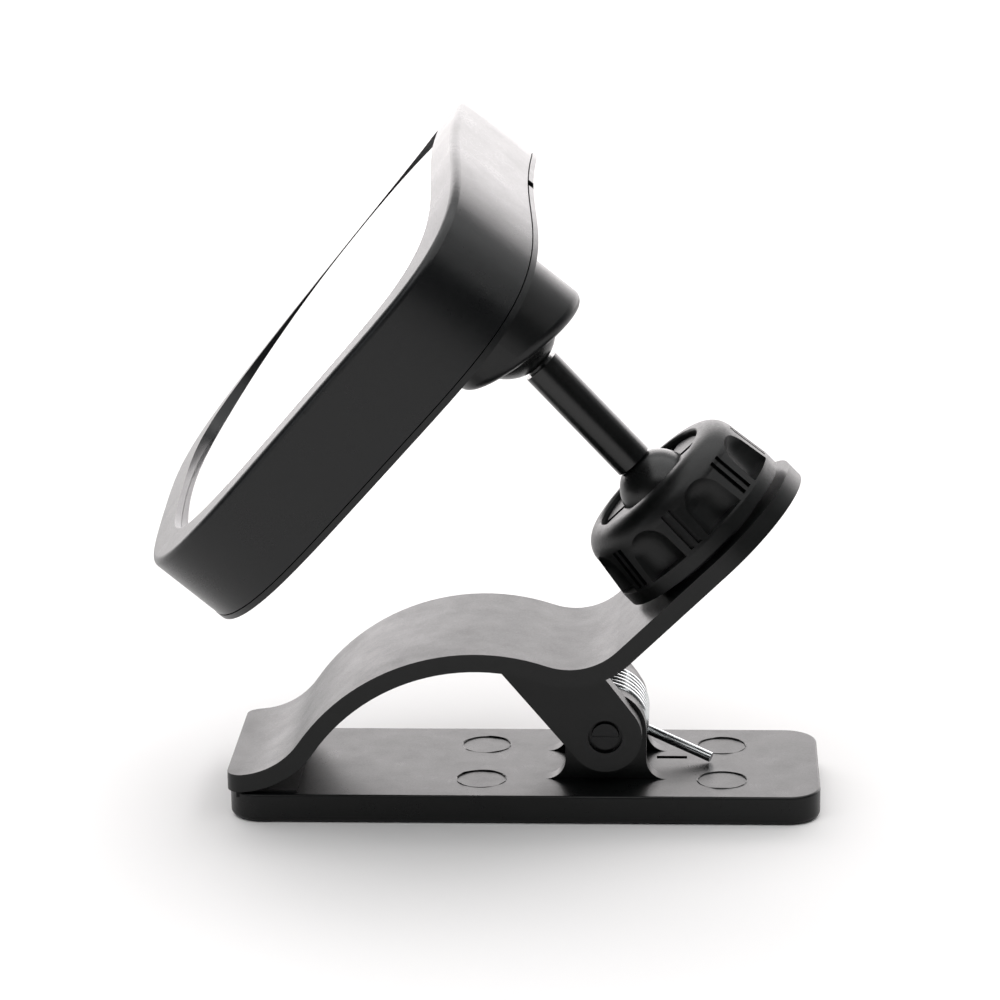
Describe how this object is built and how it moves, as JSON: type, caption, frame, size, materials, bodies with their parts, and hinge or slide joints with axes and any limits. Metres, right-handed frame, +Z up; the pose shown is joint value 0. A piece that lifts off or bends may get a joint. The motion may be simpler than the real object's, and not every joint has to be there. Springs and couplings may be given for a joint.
{
  "type": "clip-on convex mirror",
  "caption": "Spring clip with a flat base, a ball arm with a lock knob, and a framed convex mirror that swivels and tilts.",
  "frame": {"origin": "centre of the base plate's underside", "axes": "+X along the base from the jaw towards the knob end, +Y across the base, +Z up"},
  "size_m": [0.0839, 0.0763, 0.0867],
  "materials": {
    "base_plastic": "black moulded plastic, fine grain",
    "grip_rubber": "black rubber",
    "pin_plastic": "black moulded plastic",
    "spring_wire": "zinc-plated wire",
    "lever_plastic": "black moulded plastic, fine grain",
    "seat_plastic": "black plastic",
    "knob_plastic": "black moulded plastic, coarse grain",
    "stem_plastic": "satin black plastic",
    "ball_plastic": "satin black plastic",
    "ring_rubber": "black rubber",
    "retainer_plastic": "black plastic",
    "screw_steel": "zinc-plated steel",
    "cover_plastic": "satin black plastic",
    "frame_plastic": "satin black plastic",
    "mirror_glass": "silvered convex glass",
    "foam": "soft black foam"
  },
  "bodies": {
    "clip_base": {"base_plate": "base_plastic", "jaw_grip_pad": "grip_rubber", "hinge_pin": "pin_plastic", "torsion_spring": "spring_wire"},
    "lever": {"clip_lever": "lever_plastic"},
    "knob": {"lock_knob": "knob_plastic"},
    "seat": {"ball_seat": "seat_plastic"},
    "stem": {"stem_rod": "stem_plastic", "lower_ball": "ball_plastic", "upper_ball": "ball_plastic"},
    "ring": {"friction_ring": "ring_rubber"},
    "head": {"back_cover": "cover_plastic", "ball_retainer": "retainer_plastic", "retainer_screws": "screw_steel", "mirror_frame": "frame_plastic", "convex_mirror": "mirror_glass", "mirror_foam": "foam"}
  },
  "joints": [
    {"name": "lever_hinge", "type": "hinge", "parent": "clip_base", "child": "lever", "pos_m": [0.0103, 0, 0.0104], "axis": [0, 1, 0], "range_deg": [0, 30], "stiffness_Nm_per_rad": 0.8, "springref_deg": -40.11},
    {"name": "knob_turn", "type": "hinge", "parent": "lever", "child": "knob", "pos_m": [0.01925, 0, 0.03833], "axis": [-0.6921, 0, 0.7218], "range_deg": [0, 270]},
    {"name": "stem_swivel", "type": "hinge", "parent": "lever", "child": "seat", "pos_m": [0.01707, 0, 0.0406], "axis": [-0.6921, 0, 0.7218], "continuous": true},
    {"name": "stem_tilt", "type": "hinge", "parent": "seat", "child": "stem", "pos_m": [0.01707, 0, 0.0406], "axis": [0, 1, 0], "range_deg": [-10, 15]},
    {"name": "head_tilt", "type": "hinge", "parent": "stem", "child": "ring", "pos_m": [-0.00203, 0, 0.06108], "axis": [0, 1, 0], "range_deg": [-10, 15]},
    {"name": "head_swivel", "type": "hinge", "parent": "ring", "child": "head", "pos_m": [-0.00203, 0, 0.06108], "axis": [-0.77, -0.0498, 0.6361], "continuous": true}
  ]
}
